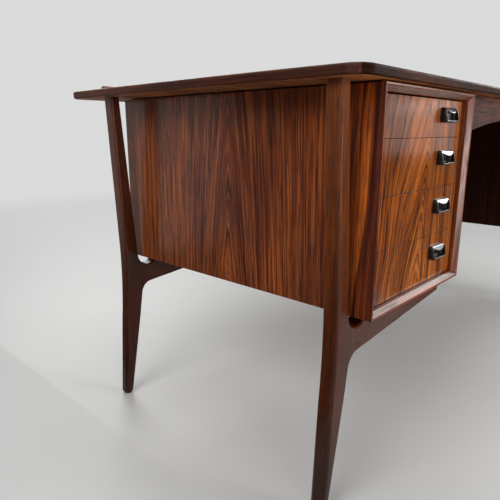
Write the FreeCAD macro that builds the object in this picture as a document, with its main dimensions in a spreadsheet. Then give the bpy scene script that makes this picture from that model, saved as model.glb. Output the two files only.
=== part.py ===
import FreeCAD, Part
import os
import re
import Sketcher

# Executive desk: two pedestals of four drawers under one thin top, carried by bent legs.
# Frame: origin on the floor under the middle, X to the right as seen from the drawer side,
# Y from the drawer side to the visitor side, Z up. Millimetres.

V = FreeCAD.Vector
doc = FreeCAD.newDocument("Desk")
sheet = doc.addObject("Spreadsheet::Sheet", "Sizes")
nodes = []

LEFT, RIGHT = -1, 1
FRONT, REAR = -1, 1
SIDE_WORD = {LEFT: "left", RIGHT: "right"}
END_WORD = {FRONT: "front", REAR: "rear"}
DRAWERS = 4

# Driving sizes, in millimetres; the shares have no unit
SIZES = {
    # Top
    "top_length": 1540,  # length of the top over its bowed ends
    "top_depth": 775,  # depth of the top, front to rear
    "top_height": 730,  # floor to the writing surface
    "top_thick": 16,  # thickness of the top
    "end_bow": 8,  # how far each end of the top bows outwards
    "top_corner": 30,  # radius of the top's corners in plan
    "top_round": 4,  # rounding of the top's upper edge
    "top_under_bevel": 3,  # bevel of the top's lower edge
    "gallery_inset": 84,  # end of the raised lip to the end of the top
    "gallery_setback": 6,  # raised lip to the rear edge of the top
    "gallery_height": 18,  # height of the raised lip
    "gallery_thick": 14,  # thickness of the raised lip
    "gallery_slant": 7,  # slant of the raised lip's ends
    "gallery_round": 4,  # rounding of the raised lip's upper edges
    # Pedestals
    "end_overhang": 90,  # end of the top to the pedestal's outer side
    "front_overhang": 11,  # front edge of the top to the pedestal's front
    "ped_width": 358,  # width of a pedestal
    "ped_depth": 661,  # depth of a pedestal
    "ped_height": 366,  # height of a pedestal
    "shadow_gap": 3,  # gap between a pedestal and the top, filled by the spacer
    "spacer_inset": 14,  # spacer to the pedestal's outline
    "board_thick": 12,  # thickness of the pedestal's boards
    "bevel": 8,  # bevel around the pedestal's front and rear opening
    "partition_thick": 10,  # partition between the drawers and the book niche
    "shelf_thick": 12,  # thickness of the niche shelf
    "shelf_setback": 20,  # niche shelf to the pedestal's rear
    "lower_niche": 178,  # height of the niche below its shelf
    # Drawers
    "front_recess": 16,  # drawer fronts behind the pedestal's front
    "front_thick": 16,  # thickness of a drawer front
    "side_clear": 0.8,  # drawer front to the pedestal's side
    "seam": 0.8,  # gap between two drawer fronts
    "head_gap": 2,  # shadow gap above the top drawer
    "top_drawer": 66,  # height of the top drawer's front
    "box_gap": 6,  # drawer box to the pedestal's side
    "box_depth": 400,  # depth of a drawer box behind its front
    "box_thick": 10,  # thickness of a drawer box's sides and back
    "box_drop": 12,  # upper edge of the box below that of the front
    "box_clear": 16,  # drawer box to the partition behind it
    "batten_height": 7,  # height of a running batten
    "batten_clear": 0.4,  # drawer box above its battens
    "bottom_thick": 5,  # thickness of a drawer bottom
    "bottom_lift": 4,  # drawer bottom above the lower edge of the box
    # Pulls
    "pull_width": 58,  # width of a pull
    "pull_height": 27,  # height of a pull
    "pull_depth": 12,  # how far a pull stands out of the drawer front
    "pull_offset": 89,  # middle of a pull to the pedestal's kneehole side
    "pull_share": 0.6,  # height of the pull's middle as a share of the drawer front
    "pull_corner": 6,  # corner radius of a pull
    "pull_rim": 3.5,  # wall around the finger hollow
    "hollow_depth": 9,  # depth of the finger hollow
    "lip_sag": 6.5,  # how far the upper lip sags into the hollow
    "lip_fall": 8,  # height of the sloping lip
    "lip_back": 7,  # depth of the sloping lip
    # Legs and arms
    "glue_inset": 4,  # glue line between leg and arm, inside the pedestal's outer side
    "limb_wide": 29.5,  # legs and arms along the depth
    "front_leg_inset": 46,  # middle of a front leg to the pedestal's front
    "rear_leg_inset": 30,  # middle of a rear leg to the pedestal's rear
    "foot_out": 76,  # glue line to the outer edge of the foot
    "foot_thick": 22.5,  # foot across the desk
    "knee_out": 49.5,  # glue line to the corner of the knee's outer bend
    "knee_drop": 45,  # knee's outer bend below the pedestal
    "knee_bend": 1400,  # radius of the knee's outer bend
    "leg_top_out": 67,  # glue line to the outer edge of the leg's upper end
    "leg_top_thick": 20,  # upper end of a leg across the desk
    "crook_out": 20,  # glue line to the crook's edge on the leg
    "crook_in": 36,  # glue line to the crook's edge on the arm
    "crook_lift": 7,  # crook's edge on the leg above that on the arm
    "crotch_out": 9,  # glue line to the corner between a leg and its arm
    "crotch_drop": 66,  # corner between a leg and its arm below the pedestal
    "crotch_bend": 28,  # radius under the arm where it leaves the leg
    "arm_reach": 350,  # glue line to the free end of an arm
    "arm_end": 36,  # depth of the arm at its free end
    "arm_slant": 14,  # slant of the arm's free end
    "limb_round": 4,  # rounding of the legs' and arms' long edges
    "crook_bevel": 2.5,  # bevel of the crook and of the leg's inner edges above it
    # Kneehole
    "apron_drop": 79,  # height of the apron at its ends
    "apron_rise": 32,  # rise of the apron's arch
    "apron_thick": 16,  # thickness of the apron
    "apron_setback": 16,  # apron behind the pedestals' front
    "panel_thick": 12,  # thickness of the modesty panel
    "panel_setback": 60,  # modesty panel to the pedestals' rear
}

# Places and sizes that follow from them
DERIVED = {
    # Floor to the underside of the top
    "under": "=top_height - top_thick",
    # Floor to the pedestals' underside
    "ped_z": "=under - shadow_gap - ped_height",
    # Pedestals' front
    "ped_y": "=front_overhang - top_depth / 2",
    # Outer side of the left pedestal
    "left_x": "=end_overhang - top_length / 2",
    # Kneehole side of the right pedestal
    "right_x": "=top_length / 2 - end_overhang - ped_width",
    # Left end of the kneehole
    "knee_x": "=left_x + ped_width",
    # Width of the kneehole
    "knee_span": "=right_x - knee_x",
    # Height of a pedestal's opening
    "open_height": "=ped_height - 2 * board_thick",
    # Width of a pedestal's opening
    "open_width": "=ped_width - 2 * board_thick",
    # Height of a lower front
    "low_drawer": "=(open_height - head_gap - top_drawer - %d * seam) / %d" % (DRAWERS, DRAWERS - 1),
    # Pedestal's front to the drawer box
    "box_front": "=front_recess + front_thick",
    # Pedestal's front to the partition
    "partition_front": "=box_front + box_depth + box_clear",
    # Width of a drawer box
    "box_width": "=open_width - 2 * box_gap",
    # Lower edge of the box above that of the front
    "box_low": "=batten_height + batten_clear",
    # Lean of a leg's inner edge
    "leg_slope": "=(leg_top_out - leg_top_thick - crook_out) / (under - ped_z - crook_lift)",
    # Width of the crook from arm to leg
    "crook_wide": "=crook_out + crook_in",
    # Straight line between the crook's two edges
    "crook_chord": "=sqrt(crook_wide^2 + crook_lift^2)",
    # Chord along the leg's inner edge and square to it, in lengths of that edge
    "crook_along": "=crook_wide * leg_slope + crook_lift",
    "crook_square": "=crook_wide - crook_lift * leg_slope",
    # Depth of the crook below its chord, so that its arc runs smoothly into the leg
    "crook_sag": "=crook_chord / 2 * (crook_chord * sqrt(1 + leg_slope^2) - crook_along) / crook_square",
    # Depth of the book niche
    "niche_depth": "=ped_depth - partition_front - partition_thick",
}

for row, (alias, content) in enumerate({**SIZES, **DERIVED}.items(), start=1):
    sheet.set("A%d" % row, alias)
    sheet.set("B%d" % row, str(content))
    sheet.setAlias("B%d" % row, alias)
doc.recompute()


def on_sheet(text):
    """A formula in bare size names, as other objects read it from the sheet."""
    names = SIZES.keys() | DERIVED.keys()
    return re.sub(r"[a-z]\w*", lambda word: "Sizes." + word[0] if word[0] in names else word[0], text)


def value(text):
    """The number that a formula in bare size names gives."""
    return float(sheet.evalExpression(text))


def place(piece, base):
    """Bind the position of a piece to three formulas."""
    for axis, text in zip("xyz", base):
        piece.setExpression("Placement.Base." + axis, on_sheet(text))


def keep(piece, label):
    """Name a finished piece and list it as a node of the desk."""
    piece.Label = label
    nodes.append(piece)
    return piece


def block(name, extent, base):
    """A plain board."""
    piece = doc.addObject("Part::Box", name)
    for side, text in zip(("Length", "Width", "Height"), extent):
        piece.setExpression(side, on_sheet(text))
    place(piece, base)
    return piece


def group(label, boards):
    """Several separate boards that make up one node."""
    piece = doc.addObject("Part::Compound", label)
    piece.Links = boards
    return keep(piece, label)


def outline(body, name, role, points, arcs=None, offset=None):
    """A closed sketch through points given as formulas; arcs gives the sag of single sides."""
    arcs = arcs or {}
    sketch = body.newObject("Sketcher::SketchObject", name)
    plane = [feature for feature in body.Origin.OriginFeatures if feature.Role == role][0]
    sketch.AttachmentSupport = [(plane, "")]
    sketch.MapMode = "FlatFace"
    if offset:
        sketch.setExpression("AttachmentOffset.Base.z", on_sheet(offset))
    corners = [V(value(across), value(up), 0) for across, up in points]
    ends = []
    for i, start in enumerate(corners):
        stop = corners[(i + 1) % len(corners)]
        if i in arcs:
            chord = stop - start
            normal = V(-chord.y, chord.x, 0).normalize()
            middle = (start + stop) / 2 + normal * value(arcs[i])
            clockwise = value(arcs[i]) > 0
            curve = Part.Arc(stop, middle, start) if clockwise else Part.Arc(start, middle, stop)
        else:
            curve = Part.LineSegment(start, stop)
        sketch.addGeometry(curve, False)
        forward = same(sketch.Geometry[i].StartPoint.distanceToPoint(start), 0)
        ends.append((1, 2) if forward else (2, 1))
    for i, (across, up) in enumerate(points):
        after = (i + 1) % len(points)
        sketch.addConstraint(Sketcher.Constraint("Coincident", i, ends[i][1], after, ends[after][0]))
        for kind, text in (("DistanceX", across), ("DistanceY", up)):
            held = Sketcher.Constraint(kind, -1, 1, i, ends[i][0], value(text))
            index = sketch.addConstraint(held)
            sketch.setExpression("Constraints[%d]" % index, on_sheet(text))
    for i, sag in arcs.items():
        (across, up), (far_across, far_up) = points[i], points[(i + 1) % len(points)]
        square = "((%s) - (%s))^2 + ((%s) - (%s))^2" % (far_across, across, far_up, up)
        radius = "abs((%s) / (8 * (%s)) + (%s) / 2)" % (square, sag, sag)
        index = sketch.addConstraint(Sketcher.Constraint("Radius", i, value(radius)))
        sketch.setExpression("Constraints[%d]" % index, on_sheet(radius))
    return sketch


def pad(body, name, sketch, length, side="One side", back=False):
    """Extrude a sketch."""
    feature = body.newObject("PartDesign::Pad", name)
    feature.Profile = sketch
    feature.setExpression("Length", on_sheet(length))
    feature.SideType = side
    feature.Reversed = back
    doc.recompute()
    return feature


def pocket(body, name, sketch, length=None, side="One side"):
    """Cut a sketch out of a body, to a depth or right through."""
    feature = body.newObject("PartDesign::Pocket", name)
    feature.Profile = sketch
    feature.SideType = side
    if length:
        feature.setExpression("Length", on_sheet(length))
    else:
        feature.Type = "ThroughAll"
    doc.recompute()
    return feature


def dress(body, kind, name, base, edges, reach):
    """Round or bevel edges of the last feature of a body."""
    feature = body.newObject("PartDesign::" + kind, name)
    feature.Base = (base, edges)
    feature.setExpression("Radius" if kind == "Fillet" else "Size", on_sheet(reach))
    doc.recompute()
    return feature


def same(one, other):
    """True for two lengths or places that agree."""
    slack = 0.001
    return abs(one - other) < slack


def meets(edge, spots):
    """True for an edge that starts or ends at one of the spots."""
    return any(same(vertex.Point.distanceToPoint(spot), 0) for vertex in edge.Vertexes for spot in spots)


def edge_names(shape, test):
    """Names of the edges that pass a test."""
    return ["Edge%d" % (i + 1) for i, edge in enumerate(shape.Edges) if test(edge)]


def runs_along(edge, axis):
    """True for a straight edge along one axis, given as 0, 1 or 2."""
    chord = edge.Vertexes[-1].Point - edge.Vertexes[0].Point
    return not same(chord.Length, 0) and same(abs(chord[axis]), edge.Length)


def at(edge, axis, level):
    """True for an edge that lies wholly in one plane across an axis."""
    box = edge.BoundBox
    low, high = ((box.XMin, box.XMax), (box.YMin, box.YMax), (box.ZMin, box.ZMax))[axis]
    return same(low, level) and same(high, level)


def make_top():
    """The bowed top with rounded corners and softened edges."""
    body = doc.addObject("PartDesign::Body", "desktop")
    half = "top_depth / 2"
    chord = "(top_length / 2 - end_bow)"
    corners = [("-" + chord, "-" + half), (chord, "-" + half), (chord, half), ("-" + chord, half)]
    sketch = outline(body, "top_outline", "XY_Plane", corners, {1: "-end_bow", 3: "-end_bow"})
    slab = pad(body, "top_slab", sketch, "top_thick")
    upright = edge_names(slab.Shape, lambda edge: runs_along(edge, 2))
    cornered = dress(body, "Fillet", "top_corners", slab, upright, "top_corner")
    thick = value("top_thick")
    rim = edge_names(cornered.Shape, lambda edge: at(edge, 2, thick))
    softened = dress(body, "Fillet", "top_rim", cornered, rim, "top_round")
    lower = edge_names(softened.Shape, lambda edge: at(edge, 2, 0))
    dress(body, "Chamfer", "top_lower_rim", softened, lower, "top_under_bevel")
    place(body, ("0", "0", "under"))
    keep(body, "desktop")


def make_gallery():
    """The raised lip along the rear edge."""
    body = doc.addObject("PartDesign::Body", "rear_gallery")
    long = "(top_length - 2 * gallery_inset)"
    corners = [("0", "0"), (long, "0"), (long + " - gallery_slant", "gallery_height"),
               ("gallery_slant", "gallery_height")]
    sketch = outline(body, "gallery_outline", "XZ_Plane", corners)
    strip = pad(body, "gallery_strip", sketch, "gallery_thick")
    tall = value("gallery_height")
    upper = edge_names(strip.Shape, lambda edge: at(edge, 2, tall) and runs_along(edge, 0))
    dress(body, "Fillet", "gallery_rounding", strip, upper, "gallery_round")
    place(body, ("gallery_inset - top_length / 2", "top_depth / 2 - gallery_setback", "top_height"))
    keep(body, "rear_gallery")


def mitred_board(label, corners, home):
    """One board of a pedestal, mitred at both ends, with its inner edges bevelled."""
    body = doc.addObject("PartDesign::Body", label)
    sketch = outline(body, label + "_outline", "XZ_Plane", corners)
    board = pad(body, label + "_board", sketch, "ped_depth", back=True)
    inner = [V(value(corners[i][0]), 0, value(corners[i][1])) for i in (2, 3)]
    middle = (inner[0] + inner[1]) / 2
    deep = value("ped_depth")
    ends = (middle, middle + V(0, deep, 0))

    def is_inner(edge):
        return any(same(edge.CenterOfMass.distanceToPoint(end), 0) for end in ends)

    dress(body, "Chamfer", label + "_bevel", board, edge_names(board.Shape, is_inner), "bevel")
    place(body, (home, "ped_y", "ped_z"))
    keep(body, label)


def make_pedestal(side, home):
    """The mitred case of one pedestal with its spacer, partition, shelf and battens."""
    word = SIDE_WORD[side]
    width, height, thick = "ped_width", "ped_height", "board_thick"
    far, high = "(ped_width - board_thick)", "(ped_height - board_thick)"
    outer, inner = ("outer", "inner") if side == LEFT else ("inner", "outer")
    boards = (("%s_%s_side" % (word, outer), [("0", height), ("0", "0"), (thick, thick), (thick, high)]),
              ("%s_%s_side" % (word, inner), [(width, "0"), (width, height), (far, high), (far, thick)]),
              ("%s_top_board" % word, [(width, height), ("0", height), (thick, high), (far, high)]),
              ("%s_bottom_board" % word, [("0", "0"), (width, "0"), (far, thick), (thick, thick)]))
    for label, corners in boards:
        mitred_board(label, corners, home)

    inset = "spacer_inset"
    spacer = block("%s_spacer" % word,
                   (width + " - 2 * " + inset, "ped_depth - 2 * " + inset, "shadow_gap"),
                   (home + " + " + inset, "ped_y + " + inset, "under - shadow_gap"))
    keep(spacer, "%s_spacer" % word)
    inside = home + " + " + thick
    floor = "ped_z + " + thick
    partition = block("%s_partition" % word, ("open_width", "partition_thick", "open_height"),
                      (inside, "ped_y + partition_front", floor))
    keep(partition, "%s_partition" % word)
    shelf = block("%s_niche_shelf" % word, ("open_width", "niche_depth - shelf_setback", "shelf_thick"),
                  (inside, "ped_y + partition_front + partition_thick",
                   floor + " + lower_niche"))
    keep(shelf, "%s_niche_shelf" % word)

    battens = []
    wide = "(box_gap + box_thick)"
    length = "(partition_front - box_front - batten_clear)"
    for number in range(1, DRAWERS + 1):
        for start in (inside, home + " + ped_width - board_thick - " + wide):
            name = "%s_batten_%d_%d" % (word, number, len(battens) % 2)
            base = (start, "ped_y + box_front + batten_clear", front_low(number))
            battens.append(block(name, (wide, length, "batten_height"), base))
    group("%s_battens" % word, battens)


def front_low(number):
    """Formula for the lower edge of a drawer front; the top drawer is number one."""
    return "ped_z + board_thick + seam + %d * (low_drawer + seam)" % (DRAWERS - number)


def make_drawer(side, number, home):
    """One drawer: front, box of three boards, bottom and pull."""
    stem = "%s_drawer_%d" % (SIDE_WORD[side], number)
    tall = "top_drawer" if number == 1 else "low_drawer"
    low = front_low(number)
    inside = home + " + board_thick"
    front = block(stem + "_front", ("open_width - 2 * side_clear", "front_thick", tall),
                  (inside + " + side_clear", "ped_y + front_recess", low))
    keep(front, stem + "_front")

    start = inside + " + box_gap"
    box_y = "ped_y + box_front"
    box_tall = tall + " - box_low - box_drop"
    flank = ("box_thick", "box_depth", box_tall)
    near = block(stem + "_side_a", flank, (start, box_y, low + " + box_low"))
    far = block(stem + "_side_b", flank, (start + " + box_width - box_thick", box_y, low + " + box_low"))
    between = "box_width - 2 * box_thick"
    back = block(stem + "_back", (between, "box_thick", box_tall),
                 (start + " + box_thick", box_y + " + box_depth - box_thick", low + " + box_low"))
    group(stem + "_box", [near, far, back])
    bottom = block(stem + "_bottom", (between, "box_depth - box_thick", "bottom_thick"),
                   (start + " + box_thick", box_y, low + " + box_low + bottom_lift"))
    keep(bottom, stem + "_bottom")
    middle = "ped_width - pull_offset" if side == LEFT else "pull_offset"
    make_pull(stem + "_pull", (home + " + " + middle, "ped_y + front_recess",
                               low + " + pull_share * (%s)" % tall))


def make_pull(label, base):
    """A block with a finger hollow under a sloping, sagging upper lip."""
    body = doc.addObject("PartDesign::Body", label)
    side, rise = "pull_width / 2", "pull_height / 2"
    corners = [("-" + side, "-" + rise), (side, "-" + rise), (side, rise), ("-" + side, rise)]
    solid = pad(body, label + "_block", outline(body, label + "_outline", "XZ_Plane", corners), "pull_depth")
    long = edge_names(solid.Shape, lambda edge: runs_along(edge, 1))
    dress(body, "Fillet", label + "_corners", solid, long, "pull_corner")
    ahead = "-pull_depth - lip_back"
    slope = [("-pull_depth", rise + " - lip_fall"), ("-pull_depth + lip_back", rise),
             (ahead, rise + " + lip_fall"), (ahead, rise + " - lip_fall")]
    pocket(body, label + "_lip", outline(body, label + "_slope", "YZ_Plane", slope), side="Symmetric")
    reach, drop = "(pull_width / 2 - pull_rim)", "(pull_height / 2 - pull_rim)"
    hollow = [("-" + reach, "-" + drop), (reach, "-" + drop), (reach, drop), ("-" + reach, drop)]
    scoop = outline(body, label + "_scoop", "XZ_Plane", hollow, {2: "lip_sag"}, offset="pull_depth")
    pocket(body, label + "_hollow", scoop, "hollow_depth")
    place(body, base)
    keep(body, label)


def make_limb(side, end):
    """A bent leg and its arm: one outline with a round crook, parted at the glue line."""
    stem = "%s_%s" % (SIDE_WORD[side], END_WORD[end])
    body = doc.addObject("PartDesign::Body", stem + "_limb")
    outward = "%d * (%s)"
    seen = [("foot_out - foot_thick", "0"), ("crotch_out", "ped_z - crotch_drop"),
            ("arm_slant - arm_reach", "ped_z - arm_end"), ("-arm_reach", "ped_z"),
            ("-crook_in", "ped_z"), ("crook_out", "ped_z + crook_lift"),
            ("leg_top_out - leg_top_thick", "under"), ("leg_top_out", "under"),
            ("knee_out", "ped_z - knee_drop"), ("foot_out", "0")]
    points = [(outward % (side, across), up) for across, up in seen]
    crook = {4: "%d * crook_sag" % -side}
    limb = pad(body, stem + "_plank", outline(body, stem + "_outline", "XZ_Plane", points, crook),
               "limb_wide", side="Symmetric")
    for corner, reach in ((1, "crotch_bend"), (8, "knee_bend")):
        spot = V(value(points[corner][0]), 0, value(points[corner][1]))
        found = edge_names(limb.Shape, lambda edge: same(edge.CenterOfMass.distanceToPoint(spot), 0))
        limb = dress(body, "Fillet", "%s_%s" % (stem, reach), limb, found, reach)
    flank = value("limb_wide / 2")
    levels = [0, value("ped_z"), value("under")]
    crook_x, crook_z = (value(text) for text in points[5])
    crook_spots = [V(crook_x, y, crook_z) for y in (-flank, flank)]

    def is_long(edge):
        in_flank = at(edge, 1, flank) or at(edge, 1, -flank)
        return in_flank and not any(at(edge, 2, level) for level in levels)

    outer = edge_names(limb.Shape, lambda edge: is_long(edge) and not meets(edge, crook_spots))
    limb = dress(body, "Fillet", stem + "_rounding", limb, outer, "limb_round")
    inner = edge_names(limb.Shape, lambda edge: is_long(edge) and meets(edge, crook_spots))
    dress(body, "Chamfer", stem + "_crook_bevel", limb, inner, "crook_bevel")
    glue = "left_x + glue_inset" if side == LEFT else "right_x + ped_width - glue_inset"
    y = "ped_y + front_leg_inset" if end == FRONT else "ped_y + ped_depth - rear_leg_inset"
    place(body, (glue, y, "0"))

    halves = (("leg", "2 * foot_out", side == RIGHT), ("arm", "2 * arm_reach", side == LEFT))
    for word, reach, is_right in halves:
        x = glue if is_right else "%s - %s" % (glue, reach)
        half = block("%s_%s_half" % (stem, word), (reach, "2 * limb_wide", "under"),
                     (x, y + " - limb_wide", "0"))
        piece = doc.addObject("Part::Common", "%s_%s" % (stem, word))
        piece.Base = body
        piece.Tool = half
        keep(piece, piece.Name)


def make_kneehole():
    """The arched apron at the front of the kneehole and the modesty panel at its rear."""
    body = doc.addObject("PartDesign::Body", "apron")
    corners = [("0", "0"), ("knee_span", "0"), ("knee_span", "apron_drop"), ("0", "apron_drop")]
    sketch = outline(body, "apron_outline", "XZ_Plane", corners, {0: "apron_rise"})
    pad(body, "apron_board", sketch, "apron_thick", back=True)
    place(body, ("knee_x", "ped_y + apron_setback", "under - apron_drop"))
    keep(body, "apron")
    panel = block("modesty_panel", ("knee_span", "panel_thick", "under - ped_z"),
                  ("knee_x", "ped_y + ped_depth - panel_setback - panel_thick", "ped_z"))
    keep(panel, "modesty_panel")


make_top()
make_gallery()
for desk_side, desk_home in ((LEFT, "left_x"), (RIGHT, "right_x")):
    make_pedestal(desk_side, desk_home)
    for drawer in range(1, DRAWERS + 1):
        make_drawer(desk_side, drawer, desk_home)
    for desk_end in (FRONT, REAR):
        make_limb(desk_side, desk_end)
make_kneehole()
doc.recompute()

for item in doc.Objects:
    if {"Invalid", "Error"} & set(item.State):
        raise RuntimeError("%s did not rebuild: %s" % (item.Name, item.State))
for node in nodes:
    if node.Shape.isNull() or not node.Shape.isValid() or not node.Shape.Solids:
        raise RuntimeError("%s has no valid solid" % node.Label)

os.makedirs("parts", exist_ok=True)
for node in nodes:
    node.Shape.exportStep("parts/%s.step" % node.Label)
print(len(nodes), "nodes written")
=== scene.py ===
"""Looks of the executive desk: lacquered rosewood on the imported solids, in a plain studio."""
import math

import bmesh
import bpy
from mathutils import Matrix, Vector


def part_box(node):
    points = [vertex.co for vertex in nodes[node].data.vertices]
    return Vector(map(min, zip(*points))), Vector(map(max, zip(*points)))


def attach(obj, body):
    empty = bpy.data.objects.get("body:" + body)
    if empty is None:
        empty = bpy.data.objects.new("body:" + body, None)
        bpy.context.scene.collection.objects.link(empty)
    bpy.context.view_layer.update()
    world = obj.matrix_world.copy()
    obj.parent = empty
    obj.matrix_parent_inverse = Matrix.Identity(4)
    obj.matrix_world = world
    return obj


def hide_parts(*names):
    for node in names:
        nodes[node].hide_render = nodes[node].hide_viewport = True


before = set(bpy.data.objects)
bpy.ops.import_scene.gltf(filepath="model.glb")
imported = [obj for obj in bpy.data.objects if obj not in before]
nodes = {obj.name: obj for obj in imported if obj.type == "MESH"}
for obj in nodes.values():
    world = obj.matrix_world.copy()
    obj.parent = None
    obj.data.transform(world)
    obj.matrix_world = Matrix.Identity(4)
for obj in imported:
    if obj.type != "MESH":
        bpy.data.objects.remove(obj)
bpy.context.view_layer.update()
scene = bpy.context.scene
scene.view_settings.view_transform = "Standard"

# Camera of the photograph, in the frame of the desk
CAMERA_PLACE = Vector((-1.3434, -0.7299, 0.6422))
CAMERA_YAW = math.radians(42.96)
CAMERA_PITCH = math.radians(-13.75)
CAMERA_LENS = 35.02
SENSOR_WIDTH = 36.0

# Places on the desk that the veneers follow
CASE_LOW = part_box("left_outer_side")[0].z
CASE_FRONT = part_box("left_outer_side")[0].y
PULL_OUTER = abs(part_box("left_drawer_1_pull")[0].x)
TOP_LOW, TOP_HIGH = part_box("desktop")

# Lacquer: its coat, its open pores, and smudges that make it unevenly dull
COAT_ROUGHNESS = 0.08
PORE_ROUGHNESS = 0.15
PORE_DEPTH = 0.00002
SMUDGE_SCALE = 7.0
SMUDGE_DETAIL = 3.0
SMUDGE_RANGE = (0.35, 0.65)
SMUDGE_SWING = 0.04


class Graph:
    """A short way to write the node tree of a material."""

    def __init__(self, name):
        self.material = bpy.data.materials.new(name)
        self.material.use_nodes = True
        self.tree = self.material.node_tree
        self.tree.nodes.clear()

    def add(self, kind, **settings):
        node = self.tree.nodes.new(kind)
        for key, setting in settings.items():
            setattr(node, key, setting)
        return node

    def feed(self, socket, source):
        """Give a socket another socket's output, or a plain value."""
        if isinstance(source, bpy.types.NodeSocket):
            self.tree.links.new(source, socket)
        else:
            socket.default_value = source

    def math(self, operation, first, second=0.0, third=0.0):
        node = self.add("ShaderNodeMath", operation=operation)
        for socket, source in zip(node.inputs, (first, second, third)):
            self.feed(socket, source)
        return node.outputs[0]

    def join(self, x, y, z):
        node = self.add("ShaderNodeCombineXYZ")
        for socket, source in zip(node.inputs, (x, y, z)):
            self.feed(socket, source)
        return node.outputs[0]

    def noise(self, place, scale, detail=2.0, roughness=0.5):
        """Noise over a place in space."""
        node = self.add("ShaderNodeTexNoise")
        self.feed(node.inputs["Vector"], place)
        node.inputs["Scale"].default_value = scale
        node.inputs["Detail"].default_value = detail
        node.inputs["Roughness"].default_value = roughness
        return node.outputs["Fac"]

    def ramp(self, factor, colours):
        """Colours spread evenly from 0 to 1."""
        node = self.add("ShaderNodeValToRGB")
        self.feed(node.inputs["Fac"], factor)
        elements = node.color_ramp.elements
        while len(elements) < len(colours):
            elements.new(0.5)
        for i, colour in enumerate(colours):
            elements[i].position = i / (len(colours) - 1)
            elements[i].color = (*colour, 1.0)
        return node.outputs["Color"]

    def fade(self, factor, low, high, low_value=0.0, high_value=1.0):
        """A smooth step between two values."""
        node = self.add("ShaderNodeMapRange", interpolation_type="SMOOTHSTEP")
        for socket, source in zip(node.inputs, (factor, low, high, low_value, high_value)):
            self.feed(socket, source)
        return node.outputs["Result"]

    def mix(self, factor, first, second, blend="MIX"):
        """Two colours mixed."""
        node = self.add("ShaderNodeMix", data_type="RGBA", blend_type=blend)
        self.feed(node.inputs["Factor"], factor)
        for name, source in (("A", first), ("B", second)):
            socket = [entry for entry in node.inputs if entry.name == name and entry.type == "RGBA"][0]
            self.feed(socket, source if isinstance(source, bpy.types.NodeSocket) else (*source, 1.0))
        return [entry for entry in node.outputs if entry.type == "RGBA"][0]

    def place(self, mirrored=True):
        """The three object coordinates, as a rule mirrored about the middle of the desk."""
        coordinates = self.add("ShaderNodeTexCoord").outputs["Object"]
        split = self.add("ShaderNodeSeparateXYZ")
        self.feed(split.inputs[0], coordinates)
        across = self.math("ABSOLUTE", split.outputs["X"]) if mirrored else split.outputs["X"]
        return {"X": across, "Y": split.outputs["Y"], "Z": split.outputs["Z"]}

    def surface(self, shader):
        """End the tree with a shader, and give the material."""
        output = self.add("ShaderNodeOutputMaterial")
        self.feed(output.inputs["Surface"], shader.outputs[0])
        return self.material

    def finish(self, colour, pores, roughness, gloss, coat=0.0):
        """The lacquered surface itself: pores stay a little open, and hands leave it uneven."""
        shader = self.add("ShaderNodeBsdfPrincipled")
        self.feed(shader.inputs["Base Color"], colour)
        place = self.add("ShaderNodeTexCoord").outputs["Object"]
        smudge = self.noise(place, SMUDGE_SCALE, SMUDGE_DETAIL)
        smudge = self.fade(smudge, *SMUDGE_RANGE, -SMUDGE_SWING, SMUDGE_SWING)
        dullness = self.math("MULTIPLY_ADD", pores, PORE_ROUGHNESS, smudge)
        self.feed(shader.inputs["Roughness"], self.math("ADD", dullness, roughness))
        self.feed(shader.inputs["Specular IOR Level"], gloss)
        shader.inputs["Coat Weight"].default_value = coat
        shader.inputs["Coat Roughness"].default_value = COAT_ROUGHNESS
        bump = self.add("ShaderNodeBump")
        bump.inputs["Distance"].default_value = PORE_DEPTH
        self.feed(bump.inputs["Height"], self.math("SUBTRACT", 1.0, pores))
        self.feed(shader.inputs["Normal"], bump.outputs["Normal"])
        return self.surface(shader)


# Colours of the woods, from the darkest streak to the palest
RED_BROWN = [(0.046, 0.010, 0.006), (0.11, 0.025, 0.009), (0.18, 0.044, 0.014), (0.26, 0.070, 0.019),
             (0.35, 0.105, 0.029)]
ORANGE_BROWN = [(0.065, 0.014, 0.003), (0.16, 0.038, 0.006), (0.26, 0.066, 0.010), (0.36, 0.105, 0.016),
                (0.48, 0.158, 0.028)]
DARK_BROWN = [(0.045, 0.011, 0.003), (0.085, 0.022, 0.006), (0.13, 0.035, 0.009), (0.18, 0.052, 0.014)]
DUSK_BROWN = [(0.030, 0.007, 0.003), (0.055, 0.013, 0.005), (0.085, 0.021, 0.007), (0.12, 0.032, 0.010)]
DEEP_BROWN = [(0.012, 0.0035, 0.002), (0.021, 0.006, 0.003), (0.034, 0.010, 0.005), (0.050, 0.016, 0.007)]
WARM_BROWN = [(0.16, 0.055, 0.020), (0.27, 0.098, 0.034), (0.37, 0.145, 0.052)]
PALE_BROWN = [(0.20, 0.10, 0.05), (0.30, 0.165, 0.085), (0.38, 0.22, 0.12)]
NEAR_BLACK = [(0.003, 0.002, 0.0015), (0.006, 0.003, 0.002), (0.012, 0.005, 0.003)]

# Colours of single marks
INK = (0.012, 0.004, 0.004)
PURPLE = (0.018, 0.005, 0.006)
DARK_RED = (0.068, 0.013, 0.007)
FLAME = (0.56, 0.13, 0.022)

# Tints that multiply a colour: in patches all over, towards a swept edge, and on limbs from the floor up,
# where they paint shade darkest at the floor and a greyer painted sheen near the top
GLOW = [(0.74, 0.72, 0.90), (1.0, 1.0, 1.0), (1.32, 1.22, 0.95)]
BLUSH = (1.0, 0.76, 0.52)
LIMB_SHADE_AND_SHEEN = [(0.28, 0.26, 0.25), (0.66, 0.54, 0.42), (1.22, 1.3, 1.42)]

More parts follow.
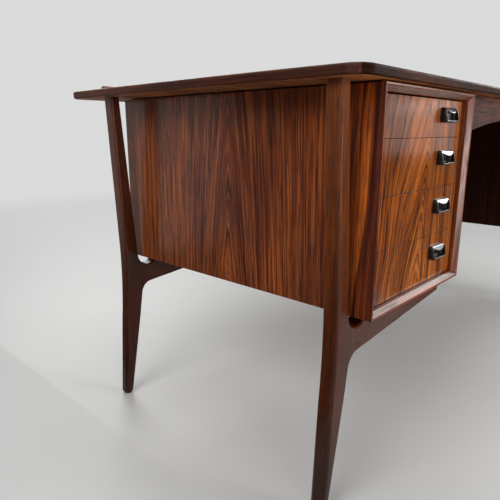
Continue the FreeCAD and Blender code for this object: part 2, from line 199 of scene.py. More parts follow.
# Figure of a plain board, with lengths in metres and scales per metre
PLAIN = {
    # The line that rings lean to, how blunt their tips are, and how much, how near and from where they lean
    "across": 0.0, "tip": 0.006, "lean": 0.0, "reach": 0.1, "start": 0.0,
    # How far rings drift aside, and how often
    "warp": 0.012, "warp_scale": 4.0,
    # How much rings sweep aside towards one edge, and the strong streaks that a bold board has there
    "sweep": 0.0, "sweep_from": 0.0, "sweep_to": 0.0, "bold": False, "streaks": [],
    # How streaks change along the grain, the scales of three widths of them, and how strong their tones are
    "stretch": 0.03, "broad": 16.0, "band": 85.0, "fine": 280.0, "contrast": 1.0,
    # Scales of ink lines, hairlines and contour lines, and how dark each kind is
    "ink": 110.0, "ink_share": 0.7, "hair": 400.0, "hair_share": 0.45, "line": 100.0, "line_share": 0.5,
}

# Slow drift of the rings
DRIFT_STRETCH = 0.4
DRIFT_DETAIL = 3.0

# Tone of a board: the shares of its streaks, and how far from the middle the palette ends
BROAD_SHARE = 0.25
BAND_SHARE = 0.4
FINE_SHARE = 0.35
STREAK_ROUGHNESS = 0.6
HALF_RANGE = 0.17

# Waves of tone towards a swept edge, as a share of the bands' scale and with their middle level
WAVE_SCALE = 0.6
WAVE_LEVEL = 0.47

# Patches of warmer and colder colour
GLOW_STRETCH = 0.35
GLOW_SCALE = 9.0
GLOW_RANGE = (0.3, 0.7)

# Strong single streaks: they bend aside at the low end of the grain and grow faint at the high end
STREAK_RISE = 0.20
STREAK_BEND = 0.013
STREAK_END = 0.4
STREAK_CORE = 0.6
STREAK_SHARE = 0.85
STREAK_SCALE = 190.0
STREAK_RANGE = (0.38, 0.58)
STREAK_LEAST = 0.35

# Ink lines, hairlines, thin contour lines and pores
INK_RANGE = (0.57, 0.69)
HAIR_RANGE = (0.57, 0.66)
LINE_WIDTH = 0.05
LINE_PATCH = 30.0
LINE_RANGE = (0.35, 0.6)
LINE_LEAST = 0.25
PORE_STRETCH = 0.04
PORE_SCALE = 520.0
PORE_RANGE = (0.57, 0.66)
PORE_SHARE = 0.65


def depth_of(grain, wide):
    """The axis through a board, of which the other two are known."""
    return ({"X", "Y", "Z"} - {grain, wide}).pop()


def rings(graph, place, grain, wide, figure):
    """Growth rings cut by a board's face, and a place for streaks along them.

    Far from a line on the face the rings show as plain stripes. Near it they lean together
    along the grain, so that they show as flames. Towards one edge they may sweep aside.
    """
    along, across, inward = place[grain], place[wide], place[depth_of(grain, wide)]
    slow = graph.join(across, inward, graph.math("MULTIPLY", along, DRIFT_STRETCH))
    drift = graph.math("SUBTRACT", graph.noise(slow, figure["warp_scale"], DRIFT_DETAIL), 0.5)
    drifted = graph.math("MULTIPLY_ADD", drift, figure["warp"], across)
    offset = graph.math("SUBTRACT", drifted, figure["across"])
    square = graph.math("MULTIPLY", offset, offset)
    stripe = graph.math("SQRT", graph.math("ADD", square, figure["tip"] ** 2))
    near = graph.math("DIVIDE", figure["reach"] ** 2, graph.math("ADD", square, figure["reach"] ** 2))
    rise = graph.math("SUBTRACT", along, figure["start"])
    ring = graph.math("MULTIPLY_ADD", graph.math("MULTIPLY", rise, figure["lean"]), near, stripe)
    if figure["sweep"]:
        aside = graph.fade(across, figure["sweep_from"], figure["sweep_to"], 0.0, figure["sweep"])
        ring = graph.math("MULTIPLY_ADD", rise, aside, ring)
    return ring, graph.join(ring, inward, graph.math("MULTIPLY", along, figure["stretch"]))


def streak_tone(graph, streak, figure):
    """How pale a board is: streaks of three widths."""
    tone = graph.math("MULTIPLY", graph.noise(streak, figure["broad"], 1.0), BROAD_SHARE)
    for width, share in (("band", BAND_SHARE), ("fine", FINE_SHARE)):
        noise = graph.noise(streak, figure[width], roughness=STREAK_ROUGHNESS)
        tone = graph.math("MULTIPLY_ADD", noise, share, tone)
    return tone


def strong_streaks(graph, colour, ring, streak, along, swept, figure):
    """Redder wood towards the swept edge, with the strong streaks of the figure laid over it."""
    colour = graph.mix(swept, colour, graph.mix(1.0, colour, BLUSH, "MULTIPLY"))
    knee = figure["start"] + STREAK_RISE
    strength = graph.fade(graph.noise(streak, STREAK_SCALE), *STREAK_RANGE, STREAK_LEAST, 1.0)
    strength = graph.math("MULTIPLY", strength, swept)
    fainter = graph.fade(along, knee, knee + STREAK_RISE, 1.0, STREAK_END)
    strength = graph.math("MULTIPLY", strength, fainter)
    bent = graph.math("ADD", ring, graph.fade(along, figure["start"], knee, STREAK_BEND, 0.0))
    for middle, half_width, tint in figure["streaks"]:
        away = graph.math("ABSOLUTE", graph.math("SUBTRACT", bent, middle))
        share = graph.fade(away, half_width * STREAK_CORE, half_width, STREAK_SHARE, 0.0)
        colour = graph.mix(graph.math("MULTIPLY", share, strength), colour, tint)
    return colour


def dark_lines(graph, streak, patch, figure):
    """How dark ink lines, hairlines and contour lines are. The last come and go in patches."""
    ink = graph.noise(streak, figure["ink"], roughness=STREAK_ROUGHNESS)
    ink = graph.fade(ink, *INK_RANGE, 0.0, figure["ink_share"])
    hair = graph.fade(graph.noise(streak, figure["hair"], 1.0), *HAIR_RANGE, 0.0, figure["hair_share"])
    level = graph.math("ABSOLUTE", graph.math("SUBTRACT", graph.noise(streak, figure["line"], 1.0), 0.5))
    line = graph.fade(level, 0.0, LINE_WIDTH, figure["line_share"], 0.0)
    strength = graph.fade(graph.noise(patch, LINE_PATCH), *LINE_RANGE, LINE_LEAST, 1.0)
    line = graph.math("MULTIPLY", line, strength)
    return graph.math("MAXIMUM", graph.math("MAXIMUM", ink, hair), line)


def tones(graph, place, grain, wide, palette, changes):
    """Colour of a board and its pores: streaks along the rings, dark lines and open vessels."""
    figure = {**PLAIN, **changes}
    along, across, inward = place[grain], place[wide], place[depth_of(grain, wide)]
    ring, streak = rings(graph, place, grain, wide, figure)
    tone = streak_tone(graph, streak, figure)
    if figure["bold"]:
        swept = graph.fade(across, figure["sweep_from"], figure["sweep_to"])
        wave = graph.math("SUBTRACT", graph.noise(streak, figure["band"] * WAVE_SCALE, 1.0), WAVE_LEVEL)
        tone = graph.math("MULTIPLY_ADD", wave, swept, tone)
    half = HALF_RANGE / figure["contrast"]
    colour = graph.ramp(graph.fade(tone, 0.5 - half, 0.5 + half), palette)
    patch = graph.join(across, inward, graph.math("MULTIPLY", along, GLOW_STRETCH))
    glow = graph.ramp(graph.fade(graph.noise(patch, GLOW_SCALE), *GLOW_RANGE), GLOW)
    colour = graph.mix(1.0, colour, glow, "MULTIPLY")
    if figure["bold"]:
        colour = strong_streaks(graph, colour, ring, streak, along, swept, figure)
    colour = graph.mix(dark_lines(graph, streak, patch, figure), colour, INK)
    vessel = graph.join(across, inward, graph.math("MULTIPLY", along, PORE_STRETCH))
    pores = graph.fade(graph.noise(vessel, PORE_SCALE, 1.0), *PORE_RANGE)
    return graph.mix(graph.math("MULTIPLY", pores, PORE_SHARE), colour, INK), pores


def board(name, grain, wide, palette, changes, roughness=0.26, gloss=0.4, coat=0.0):
    """A lacquered board with one figure all over."""
    graph = Graph(name)
    colour, pores = tones(graph, graph.place(), grain, wide, palette, changes)
    return graph.finish(colour, pores, roughness, gloss, coat)


# Drawer fronts: from a pull's outer end to the joint of the leaves, and on to the tips of the flames
LEAF_JOINT = 0.034
FLAME_TIPS = 0.015
JOINT_SOFTNESS = 0.0002


def drawer_veneer():
    """Two leaves of veneer side by side over all fronts: flames outside, straight grain by the pulls."""
    graph = Graph("front_veneer")
    place = graph.place()
    joint = PULL_OUTER + LEAF_JOINT
    both = {"band": 120.0, "fine": 420.0}
    flame = {**both, "across": joint + FLAME_TIPS, "tip": 0.012, "lean": 0.28, "reach": 0.12,
             "start": CASE_LOW, "warp": 0.05, "warp_scale": 9.0, "stretch": 0.012, "broad": 22.0,
             "ink_share": 0.6, "line_share": 0.9}
    straight = {**both, "across": 0.1, "warp_scale": 6.0, "stretch": 0.015, "line_share": 0.7}
    flamed, pores = tones(graph, place, "Z", "X", ORANGE_BROWN, flame)
    striped, _ = tones(graph, place, "Z", "X", ORANGE_BROWN, straight)
    leaf = graph.fade(place["X"], joint - JOINT_SOFTNESS, joint + JOINT_SOFTNESS)
    return graph.finish(graph.mix(leaf, striped, flamed), pores, roughness=0.16, gloss=0.48)


# Top: its lipping, the bow of its ends, and how thin a skin counts as its underside
LIP_WIDTH = 0.011
END_BOW = 0.008
UNDERSIDE_SKIN = 0.0002

# Roughness and gloss of the top's face, and how its lipping and underside differ from it
FACE_ROUGHNESS = 0.38
LIP_DULLING = 0.02
UNDERSIDE_DULLING = 0.2
FACE_GLOSS = 0.3
LONG_LIP_LOSS = 0.28
END_LIP_LOSS = 0.17
UNDERSIDE_LOSS = 0.25
LEAST_GLOSS = 0.02


def top_veneer():
    """The top: veneer along its length, a mitred dark lipping around it, a warmer underside."""
    graph = Graph("top_veneer")
    place = graph.place()
    half_length, half_depth = TOP_HIGH.x, TOP_HIGH.y
    sideways = graph.math("DIVIDE", place["Y"], half_depth)
    end = graph.math("MULTIPLY_ADD", graph.math("MULTIPLY", sideways, sideways), -END_BOW, half_length)
    to_end = graph.math("SUBTRACT", end, place["X"])
    to_side = graph.math("SUBTRACT", half_depth, graph.math("ABSOLUTE", place["Y"]))
    at_end = graph.math("LESS_THAN", to_end, to_side)
    rim = graph.math("LESS_THAN", graph.math("MINIMUM", to_end, to_side), LIP_WIDTH)
    underneath = graph.math("LESS_THAN", place["Z"], TOP_LOW.z + UNDERSIDE_SKIN)

    flame = {"across": 0.06, "lean": 0.07, "reach": 0.12, "start": -0.3, "warp": 0.03, "stretch": 0.015}
    calm = {"ink_share": 0.3, "line_share": 0.2}
    face, pores = tones(graph, graph.place(mirrored=False), "X", "Y", RED_BROWN, flame)
    long_lip, _ = tones(graph, place, "X", "Z", DEEP_BROWN, calm)
    end_lip, _ = tones(graph, place, "Y", "Z", DUSK_BROWN, calm)
    below, _ = tones(graph, place, "X", "Y", WARM_BROWN, calm)
    colour = graph.mix(rim, face, graph.mix(at_end, long_lip, end_lip))
    colour = graph.mix(underneath, colour, below)

    roughness = graph.math("MULTIPLY_ADD", rim, LIP_DULLING, FACE_ROUGHNESS)
    roughness = graph.math("MULTIPLY_ADD", underneath, UNDERSIDE_DULLING, roughness)
    lip_loss = graph.math("MULTIPLY_ADD", at_end, LONG_LIP_LOSS - END_LIP_LOSS, -LONG_LIP_LOSS)
    gloss = graph.math("MULTIPLY_ADD", underneath, -UNDERSIDE_LOSS, FACE_GLOSS)
    gloss = graph.math("MULTIPLY_ADD", rim, lip_loss, gloss)
    return graph.finish(colour, pores, roughness, graph.math("MAXIMUM", gloss, LEAST_GLOSS))


# Pedestal sides: the middle of their flames, and where the sweep beside the front frame begins and ends
SIDE_HEART = -0.055
SWEEP_FROM = CASE_FRONT + 0.14
SWEEP_TO = CASE_FRONT + 0.03


def side_figure():
    """Figure of the pedestal sides: flames in the middle, strong streaks beside the front frame."""
    front_ring = abs(CASE_FRONT - SIDE_HEART)
    # Each streak is the ring that it follows, half its width and its colour
    streaks = [(front_ring + 0.004, 0.028, DARK_RED), (front_ring - 0.032, 0.009, FLAME),
               (front_ring - 0.021, 0.007, PURPLE)]
    return {"across": SIDE_HEART, "lean": 0.11, "reach": 0.07, "start": CASE_LOW, "warp": 0.02,
            "sweep": -0.03, "sweep_from": SWEEP_FROM, "sweep_to": SWEEP_TO, "bold": True, "streaks": streaks,
            "stretch": 0.014, "band": 210.0, "fine": 560.0, "contrast": 0.9, "ink": 240.0, "ink_share": 0.4,
            "hair": 720.0, "line_share": 0.7}


# Kneehole: where its painted shade begins and is full, and the gloss before and behind that
SHADE_FROM = CASE_FRONT + 0.02
SHADE_TO = CASE_FRONT + 0.05
FRAME_GLOSS = 0.45
SHADE_GLOSS_LOSS = 0.35


def shaded_kneehole_veneer():
    """The sides that face the kneehole, with shade painted darker away from the front frame."""
    graph = Graph("shaded_kneehole_veneer")
    place = graph.place()
    figure = side_figure()
    dark, pores = tones(graph, place, "Z", "Y", DEEP_BROWN, figure)
    framed, _ = tones(graph, place, "Z", "Y", RED_BROWN, {**figure, "streaks": []})
    # Painted shade: just behind the front frame, the kneehole sides turn to the darkest palette
    inward = graph.fade(place["Y"], SHADE_FROM, SHADE_TO)
    gloss = graph.math("MULTIPLY_ADD", inward, -SHADE_GLOSS_LOSS, FRAME_GLOSS)
    return graph.finish(graph.mix(inward, framed, dark), pores, roughness=0.22, gloss=gloss)


# How much of a face's normal must lie along Y for the face to belong to a drawer's back
BACK_FACING = 0.7


def drawer_wood():
    """Plain pale wood of the drawer boxes: the grain runs along each board."""
    graph = Graph("drawer_wood")
    place = graph.place()
    calm = {"ink_share": 0.05, "hair_share": 0.1, "line_share": 0.1}
    sides, pores = tones(graph, place, "Y", "Z", PALE_BROWN, calm)
    back, _ = tones(graph, place, "X", "Z", PALE_BROWN, calm)
    split = graph.add("ShaderNodeSeparateXYZ")
    graph.feed(split.inputs[0], graph.add("ShaderNodeTexCoord").outputs["Normal"])
    crosswise = graph.math("GREATER_THAN", graph.math("ABSOLUTE", split.outputs["Y"]), BACK_FACING)
    return graph.finish(graph.mix(crosswise, sides, back), pores, roughness=0.5, gloss=0.3)


def limb_wood(name, grain, wide, palette=DARK_BROWN):
    """Solid wood of the legs, the arms and the gallery, with shade painted darker towards the floor and a
    greyer painted sheen near the top.
    """
    graph = Graph(name)
    place = graph.place()
    calm = {"band": 130.0, "fine": 420.0, "contrast": 0.5, "ink_share": 0.15, "hair_share": 0.25,
            "line_share": 0.1}
    colour, pores = tones(graph, place, grain, wide, palette, calm)
    # Painted shade and sheen: the limbs are tinted darker towards the floor and greyer near their top
    limb_shade_and_sheen = graph.ramp(graph.fade(place["Z"], 0.0, TOP_LOW.z), LIMB_SHADE_AND_SHEEN)
    return graph.finish(graph.mix(1.0, colour, limb_shade_and_sheen, "MULTIPLY"), pores, roughness=0.27, gloss=0.22)


def make_materials():
    """One material for each kind of board."""
    level = {"across": 0.1, "lean": 0.08, "reach": 0.1, "warp": 0.03}
    upright = {"across": 0.5, "lean": 0.1}
    plain = {"ink_share": 0.1, "line_share": 0.1}
    return {
        "side": board("side_veneer", "Z", "Y", RED_BROWN, side_figure(), roughness=0.18, gloss=0.3),
        "kneehole": shaded_kneehole_veneer(),
        "level": board("level_board", "X", "Y", RED_BROWN, level),
        "apron": board("apron_wood", "X", "Z", DUSK_BROWN, level, roughness=0.3, gloss=0.05),
        "rail": board("rail_wood", "X", "Y", DARK_BROWN, level, roughness=0.2, gloss=0.45),
        "top": top_veneer(),
        "front": drawer_veneer(),
        "leg": limb_wood("leg_wood", "Z", "X"),
        # Painted shade: the rear legs take a darker palette than the front legs, for the shade they stand in
        "rear_leg": limb_wood("shaded_rear_leg_wood", "Z", "X", DUSK_BROWN),
        "arm": limb_wood("arm_wood", "X", "Z"),
        "gallery": limb_wood("gallery_wood", "X", "Z"),
        "pull": board("pull_wood", "X", "Z", NEAR_BLACK, plain, roughness=0.16, gloss=0.2, coat=0.35),
        "niche": board("niche_back", "Z", "X", RED_BROWN, upright),
        "inner": drawer_wood(),
    }


# Kind of board by the end of a node's name, of which the first that fits counts
# The spacers take the kneehole's painted shade, so that the gap they sit in shows dark
KINDS = {"_front": "front", "_pull": "pull", "rear_leg": "rear_leg", "_leg": "leg", "_arm": "arm",
         "outer_side": "side", "inner_side": "kneehole", "_spacer": "kneehole", "_box": "inner",
         "_bottom": "inner", "_battens": "inner", "_partition": "niche", "desktop": "top",
         "rear_gallery": "gallery", "apron": "apron", "top_board": "rail"}


def kind_of(node):
    """Which material a node takes. What KINDS doesn't name is a level board."""
    for ending, kind in KINDS.items():
        if node.endswith(ending):
            return kind
    return "level"


def dress_nodes():
    """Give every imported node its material."""
    materials = make_materials()
    for name, node in nodes.items():
        node.data.materials.clear()
        node.data.materials.append(materials[kind_of(name)])
    return materials


# Boards whose sharp edges are broken, by the end of their names
SOFT_EDGED = ("_side", "_board", "_front", "_shelf", "apron", "modesty_panel", "rear_gallery")
EDGE_ROUND = 0.0006
EDGE_SEGMENTS = 3
EDGE_ANGLE = math.radians(30)
WELD_REACH = 0.00001


def soften_edges():
    """Break the sharp edges of boards a little."""
    for name, node in nodes.items():
        if not name.endswith(SOFT_EDGED):
            continue
        weld = node.modifiers.new("weld", "WELD")
        weld.merge_threshold = WELD_REACH
        bevel = node.modifiers.new("broken_edges", "BEVEL")
        bevel.width = EDGE_ROUND
        bevel.segments = EDGE_SEGMENTS
        bevel.limit_method = "ANGLE"
        bevel.angle_limit = EDGE_ANGLE
        even = node.modifiers.new("even_shading", "WEIGHTED_NORMAL")
        even.keep_sharp = False


# Shaped pieces keep a crease where their faces meet at more than this
SMOOTH_ANGLE = math.radians(35)


def stand_in(name, shape, material, body):
    """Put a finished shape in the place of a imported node."""
    bmesh.ops.recalc_face_normals(shape, faces=shape.faces)
    mesh = bpy.data.meshes.new(name + "_shaped")
    shape.to_mesh(mesh)
    shape.free()
    if "custom_normal" in mesh.attributes:
        mesh.attributes.remove(mesh.attributes["custom_normal"])
    mesh.shade_smooth()
    mesh.set_sharp_from_angle(angle=SMOOTH_ANGLE)
    mesh.materials.clear()
    mesh.materials.append(material)
    piece = bpy.data.objects.new(name + "_shaped", mesh)
    scene.collection.objects.link(piece)
    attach(piece, body)
    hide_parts(name)


# Lower legs: the corners grow rounder from the shin down to a bull-nosed foot
SHIN = 0.20
FOOT_CORNER = 0.012
FOOT_NOSE = 0.010
SHIN_STEPS = 14
NOSE_STEPS = 7


class Section:
    """A level cut through a lower leg: a rectangle with round corners."""

    def __init__(self, x_range, y_range, corner):
        self.middle = Vector(((x_range[0] + x_range[1]) / 2, (y_range[0] + y_range[1]) / 2))
        self.half = Vector(((x_range[1] - x_range[0]) / 2, (y_range[1] - y_range[0]) / 2))
        self.corner = corner

    def angle(self, point):
        """Which corner a point of the outline belongs to, and how far round it."""
        across, deep = point.x - self.middle.x, point.y - self.middle.y
        turn = math.atan2(max(abs(deep) - self.half.y + self.corner, 0.0),
                          max(abs(across) - self.half.x + self.corner, 0.0))
        return math.copysign(1.0, across), math.copysign(1.0, deep), turn

    def point(self, across_sign, deep_sign, turn, level):
        """The point of the outline at such a corner and turn."""
        across = self.half.x - self.corner + self.corner * math.cos(turn)
        deep = self.half.y - self.corner + self.corner * math.sin(turn)
        return Vector((self.middle.x + across_sign * across, self.middle.y + deep_sign * deep, level))


def span(points, axis):
    """Lowest and highest coordinate of some points."""
    places = [point[axis] for point in points]
    return min(places), max(places)


def settle_order(shape):
    """Put edges and faces in the order of their points, because cuts leave them in any order."""
    shape.verts.index_update()

    def rank(item):
        """A number of its own for an edge or a face, from the first three of its points."""
        number = 0
        for index in sorted(vertex.index for vertex in item.verts)[:3]:
            number = number * len(shape.verts) + index
        return number

    shape.edges.sort(key=rank)
    shape.faces.sort(key=rank)


def shape_leg(name, material):
    """A copy of a packed leg with a rounder shin and foot."""
    shape = bmesh.new()
    shape.from_mesh(nodes[name].data)
    bmesh.ops.remove_doubles(shape, verts=shape.verts, dist=WELD_REACH)
    foot = span([vertex.co for vertex in shape.verts if vertex.co.z < WELD_REACH], 0)
    bmesh.ops.bisect_plane(shape, geom=[*shape.verts, *shape.edges, *shape.faces], dist=WELD_REACH,
                           plane_co=(0.0, 0.0, SHIN), plane_no=(0.0, 0.0, 1.0), clear_inner=True)
    rim = [edge for edge in shape.edges if edge.is_boundary]
    points = [vertex.co.copy() for edge in rim for vertex in edge.verts]
    shin, depth = span(points, 0), span(points, 1)
    flat = span([point for point in points if shin[1] - point.x < WELD_REACH], 1)
    packed_corner = (depth[1] - depth[0] - flat[1] + flat[0]) / 2
    section = Section(shin, depth, packed_corner)
    levels = [SHIN + (FOOT_NOSE - SHIN) * step / SHIN_STEPS for step in range(1, SHIN_STEPS + 1)]
    turns = [math.pi / 2 * step / NOSE_STEPS for step in range(1, NOSE_STEPS + 1)]
    levels += [FOOT_NOSE * (1 - math.sin(turn)) for turn in turns]
    for level in levels:
        share = level / SHIN
        rise = max(FOOT_NOSE - level, 0.0)
        inset = FOOT_NOSE - math.sqrt(FOOT_NOSE ** 2 - rise ** 2)
        x_range = [low + (high - low) * share for low, high in zip(foot, shin)]
        least_half = min(x_range[1] - x_range[0], depth[1] - depth[0]) / 2 - inset
        corner = min(FOOT_CORNER + (packed_corner - FOOT_CORNER) * share, least_half)
        y_range = (depth[0] + inset, depth[1] - inset)
        lower = Section((x_range[0] + inset, x_range[1] - inset), y_range, corner)
        made = bmesh.ops.extrude_edge_only(shape, edges=rim)["geom"]
        rim = [item for item in made if isinstance(item, bmesh.types.BMEdge)]
        for vertex in [item for item in made if isinstance(item, bmesh.types.BMVert)]:
            vertex.co = lower.point(*section.angle(vertex.co), level)
        section = lower
    bmesh.ops.contextual_create(shape, geom=rim)
    settle_order(shape)
    stand_in(name, shape, material, "desk")


# Pulls: a block with round edges, its sloping upper lip sagging into the finger hollow
PULL_CORNER = 0.006
PULL_RIM = 0.0035
PULL_EDGE = 0.0024
HOLLOW_DEPTH = 0.009
HOLLOW_CORNER = 0.003
HOLLOW_EDGE = 0.0007
LIP_SAG = 0.0065
LIP_FALL = 0.0095
LIP_BACK = 0.007
CORNER_STEPS = 5
LIP_STEPS = 12
PULL_EDGE_STEPS = 4
HOLLOW_EDGE_STEPS = 3

# Loops across a pull's rim, as shares of its width, and down its hollow, as scale and height above the floor
RIM_LOOPS = (0.3, 0.55, 0.75, 0.9)
HOLLOW_LOOPS = ((0.995, 0.003), (0.985, 0.0013), (0.95, 0.0003), (0.88, 0.0))


def pull_outline(half, low, high, corner, sag):
    """Points around a pull or its hollow, seen from the front, from the lower right corner on."""
    points = []
    turns = ((1, low + corner, -90), (1, high - corner, 0), (-1, high - corner, 90), (-1, low + corner, 180))
    for across, up, turn in turns:
        for step in range(CORNER_STEPS + 1):
            angle = math.radians(turn + 90 * step / CORNER_STEPS)
            centre = across * (half - corner)
            points.append((centre + corner * math.cos(angle), up + corner * math.sin(angle)))
        if turn == 0:
            flat = half - corner
            points += [(flat - 2 * flat * step / LIP_STEPS, high) for step in range(1, LIP_STEPS)]
    middle = (low + high) / 2
    bent = []
    for across, up in points:
        share = max(up - middle, 0.0) / (high - middle)
        bent.append(Vector((across, up - sag * share * (1 - (across / half) ** 2))))
    return bent


def pull_loops(half, rise, depth):
    """Loops of points from a pull's back over its rim into its hollow, each with how far it stands out."""
    outer = pull_outline(half, -rise, rise, PULL_CORNER, 0.0)
    inner = pull_outline(half - PULL_RIM, PULL_RIM - rise, rise - PULL_RIM, HOLLOW_CORNER, LIP_SAG)

    def rim(fixed, share, sunk):
        """A loop between the outlines: a fixed way and a share of the whole way in, sunk below the face."""
        loop = []
        for out, into in zip(outer, inner):
            way = into - out
            point = out + way * min((fixed + share * way.length) / way.length, 1.0)
            face = min(depth, depth - LIP_BACK + (rise - point.y) * LIP_BACK / LIP_FALL)
            loop.append((point, face - sunk))
        return loop

    loops = [[(point, 0.0) for point in outer]]
    for step in range(PULL_EDGE_STEPS + 1):
        turn = math.pi / 2 * step / PULL_EDGE_STEPS
        loops.append(rim(PULL_EDGE * (1 - math.cos(turn)), 0.0, PULL_EDGE * (1 - math.sin(turn))))
    for share in RIM_LOOPS:
        loops.append(rim(PULL_EDGE - (PULL_EDGE + HOLLOW_EDGE) * share, share, 0.0))
    for step in range(HOLLOW_EDGE_STEPS + 1):
        turn = math.pi / 2 * step / HOLLOW_EDGE_STEPS
        loops.append(rim(-HOLLOW_EDGE * (1 - math.sin(turn)), 1.0, HOLLOW_EDGE * (1 - math.cos(turn))))
    for scale, height in HOLLOW_LOOPS:
        loops.append([(point * scale, depth - HOLLOW_DEPTH + height) for point in inner])
    return loops


def shape_pull(name, material, body):
    """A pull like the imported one, with round edges."""
    low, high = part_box(name)
    centre, half_size = (low + high) / 2, (high - low) / 2
    shape = bmesh.new()
    rows = []
    for loop in pull_loops(half_size.x, half_size.z, high.y - low.y):
        rows.append([shape.verts.new((centre.x + point.x, high.y - stand, centre.z + point.y))
                     for point, stand in loop])
    for behind, ahead in zip(rows, rows[1:]):
        for i in range(len(behind)):
            j = (i + 1) % len(behind)
            shape.faces.new((behind[i], behind[j], ahead[j], ahead[i]))
    shape.faces.new(rows[0])
    shape.faces.new(rows[-1])
    stand_in(name, shape, material, body)


DRAWERS_A_SIDE = 4


def shape_pieces(materials):
    """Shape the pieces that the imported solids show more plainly: legs and pulls."""
    for side in ("left", "right"):
        for end in ("front", "rear"):
            leg = "%s_%s_leg" % (side, end)
            shape_leg(leg, materials[kind_of(leg)])
        for number in range(1, DRAWERS_A_SIDE + 1):
            drawer = "%s_drawer_%d" % (side, number)
            shape_pull(drawer + "_pull", materials["pull"], drawer)


def make_camera():
    """The camera of the photograph."""
    data = bpy.data.cameras.new("photo_camera")
    data.sensor_width = SENSOR_WIDTH
    data.lens = CAMERA_LENS
    camera = bpy.data.objects.new("photo_camera", data)
    level = math.cos(CAMERA_PITCH)
    heading = Vector((math.cos(CAMERA_YAW) * level, math.sin(CAMERA_YAW) * level, math.sin(CAMERA_PITCH)))
    camera.location = CAMERA_PLACE
    camera.rotation_euler = heading.to_track_quat("-Z", "Y").to_euler()
    scene.collection.objects.link(camera)
    scene.camera = camera


# Floor: a disc that fades out between two distances from the desk
FLOOR_RADIUS = 9.0
FLOOR_SIDES = 96
FLOOR_FADE = (1.2, 4.5)
FLOOR_GREYS = [(0.45, 0.45, 0.445), (0.49, 0.49, 0.485)]
FLOOR_ROUGHNESS = 0.55
SPECKLE_SCALE = 3.0
SPECKLE_DETAIL = 4.0


def make_floor():
    """A pale round floor that fades out at its rim."""
    turns = [2 * math.pi * i / FLOOR_SIDES for i in range(FLOOR_SIDES)]
    corners = [(FLOOR_RADIUS * math.cos(turn), FLOOR_RADIUS * math.sin(turn), 0.0) for turn in turns]
    mesh = bpy.data.meshes.new("floor")
    mesh.from_pydata(corners, [], [tuple(range(FLOOR_SIDES))])
    floor = bpy.data.objects.new("floor", mesh)
    scene.collection.objects.link(floor)
    graph = Graph("floor")
    place = graph.add("ShaderNodeTexCoord").outputs["Object"]
    shader = graph.add("ShaderNodeBsdfPrincipled")
    speckle = graph.noise(place, SPECKLE_SCALE, SPECKLE_DETAIL)
    graph.feed(shader.inputs["Base Color"], graph.ramp(speckle, FLOOR_GREYS))
    shader.inputs["Roughness"].default_value = FLOOR_ROUGHNESS
    length = graph.add("ShaderNodeVectorMath", operation="LENGTH")
    graph.feed(length.inputs[0], place)
    clear = graph.add("ShaderNodeBsdfTransparent")
    mixed = graph.add("ShaderNodeMixShader")
    graph.feed(mixed.inputs[0], graph.fade(length.outputs["Value"], *FLOOR_FADE))
    graph.feed(mixed.inputs[1], shader.outputs["BSDF"])
    graph.feed(mixed.inputs[2], clear.outputs["BSDF"])
    mesh.materials.append(graph.surface(mixed))


# Room: the colour that is seen of it, and the light that it gives
ROOM_SEEN = (0.70, 0.71, 0.705, 1.0)
ROOM_LIGHT = (0.13, 0.13, 0.13, 1.0)


def make_world():
    """A pale room: what is seen of it is brighter than the light it gives."""
    world = bpy.data.worlds.new("room")
    scene.world = world
    world.use_nodes = True
    tree = world.node_tree
    tree.nodes.clear()
    seen, given = (tree.nodes.new("ShaderNodeBackground") for _ in range(2))
    seen.inputs["Color"].default_value = ROOM_SEEN
    given.inputs["Color"].default_value = ROOM_LIGHT
    path = tree.nodes.new("ShaderNodeLightPath")
    direct = path.outputs["Is Camera Ray"]
    for name in ("Is Glossy Ray", "Is Transmission Ray"):
        either = tree.nodes.new("ShaderNodeMath")
        either.operation = "MAXIMUM"
        tree.links.new(direct, either.inputs[0])
        tree.links.new(path.outputs[name], either.inputs[1])
        direct = either.outputs[0]
    mixed = tree.nodes.new("ShaderNodeMixShader")
    tree.links.new(direct, mixed.inputs[0])
    tree.links.new(given.outputs[0], mixed.inputs[1])
    tree.links.new(seen.outputs[0], mixed.inputs[2])
    output = tree.nodes.new("ShaderNodeOutputWorld")
    tree.links.new(mixed.outputs[0], output.inputs["Surface"])


def make_lamp(name, place, aim, width, power, diffuse=True, glossy=True):
    """A round soft light, which may be kept to reflections or out of them."""
    data = bpy.data.lights.new(name, "AREA")
    data.shape = "DISK"
    data.size = width
    data.energy = power
    lamp = bpy.data.objects.new(name, data)
    lamp.visible_diffuse = diffuse
    lamp.visible_glossy = glossy
    lamp.location = place
    lamp.rotation_euler = (Vector(aim) - Vector(place)).to_track_quat("-Z", "Y").to_euler()
    scene.collection.objects.link(lamp)


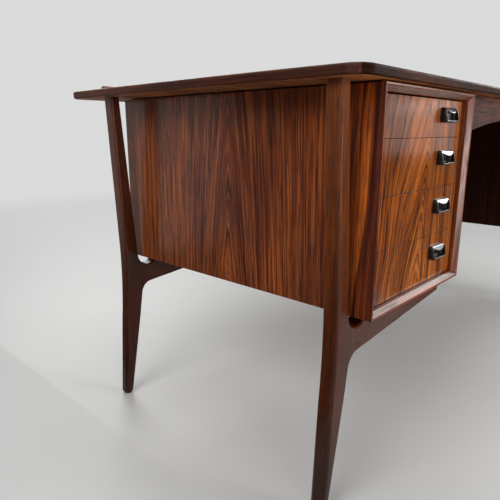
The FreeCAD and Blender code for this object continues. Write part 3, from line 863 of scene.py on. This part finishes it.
def make_lamps():
    """Soft light from all sides and a window to the right, in metres and watts."""
    make_lamp("left_light", (-2.7, -0.4, 2.0), (-0.6, -0.1, 0.4), 1.6, 44.0)
    make_lamp("near_light", (-2.0, -2.6, 1.6), (-0.5, -0.3, 0.4), 1.2, 11.0)
    make_lamp("front_light", (0.9, -3.2, 0.75), (-0.4, -0.3, 0.35), 1.4, 99.0, glossy=False)
    make_lamp("window", (2.1, -1.5, 1.55), (-0.5, -0.37, 0.4), 1.6, 24.0)
    make_lamp("ceiling", (0.0, 0.0, 3.2), (0.0, 0.0, 0.3), 3.0, 62.0)
    make_lamp("rear_light", (0.8, 3.0, 2.2), (0.0, 0.0, 0.4), 2.0, 55.0)
    make_lamp("far_window", (2.2, -0.74, 1.52), (-0.42, -0.4, 0.55), 0.64, 12.0, diffuse=False)
    make_lamp("near_strip", (-0.95, -2.3, 0.42), (-0.3, -0.38, 0.5), 0.7, 9.0, diffuse=False)


FLAG_GREY = (0.03, 0.03, 0.03, 1.0)


def make_flag(name, place, aim, width, height):
    """A dark card that only reflections show, as photographers set up beside a gloss surface."""
    mesh = bpy.data.meshes.new(name)
    signs = ((-1, -1), (1, -1), (1, 1), (-1, 1))
    corners = [(across * width / 2, up * height / 2, 0.0) for across, up in signs]
    mesh.from_pydata(corners, [], [(0, 1, 2, 3)])
    graph = Graph(name)
    shader = graph.add("ShaderNodeBsdfDiffuse")
    shader.inputs["Color"].default_value = FLAG_GREY
    mesh.materials.append(graph.surface(shader))
    flag = bpy.data.objects.new(name, mesh)
    flag.location = place
    flag.rotation_euler = (Vector(aim) - Vector(place)).to_track_quat("Z", "Y").to_euler()
    for ray in ("camera", "diffuse", "shadow", "transmission"):
        setattr(flag, "visible_" + ray, False)
    scene.collection.objects.link(flag)


def make_flags():
    """Upright flags, and two cards that lie just above the floor, in metres."""
    make_flag("front_flag", (1.3, -1.15, 0.26), (-0.5, -0.36, 0.26), 1.2, 0.52)
    make_flag("leg_flag", (1.0, -1.95, 0.55), (-0.73, -0.35, 0.55), 0.7, 1.1)
    make_flag("edge_flag", (1.4, -1.0, 0.87), (-0.5, -0.39, 0.87), 1.1, 0.14)
    make_flag("side_flag", (-1.67, 0.5, 0.45), (-0.68, 0.5, 0.45), 0.90, 1.0)
    make_flag("front_card", (1.1, -1.15, 0.004), (1.1, -1.15, 1.0), 1.6, 1.0)
    make_flag("side_card", (-1.4, 0.6, 0.004), (-1.4, 0.6, 1.0), 1.1, 1.5)


make_camera()
woods = dress_nodes()
soften_edges()
shape_pieces(woods)
make_floor()
make_world()
make_lamps()
make_flags()
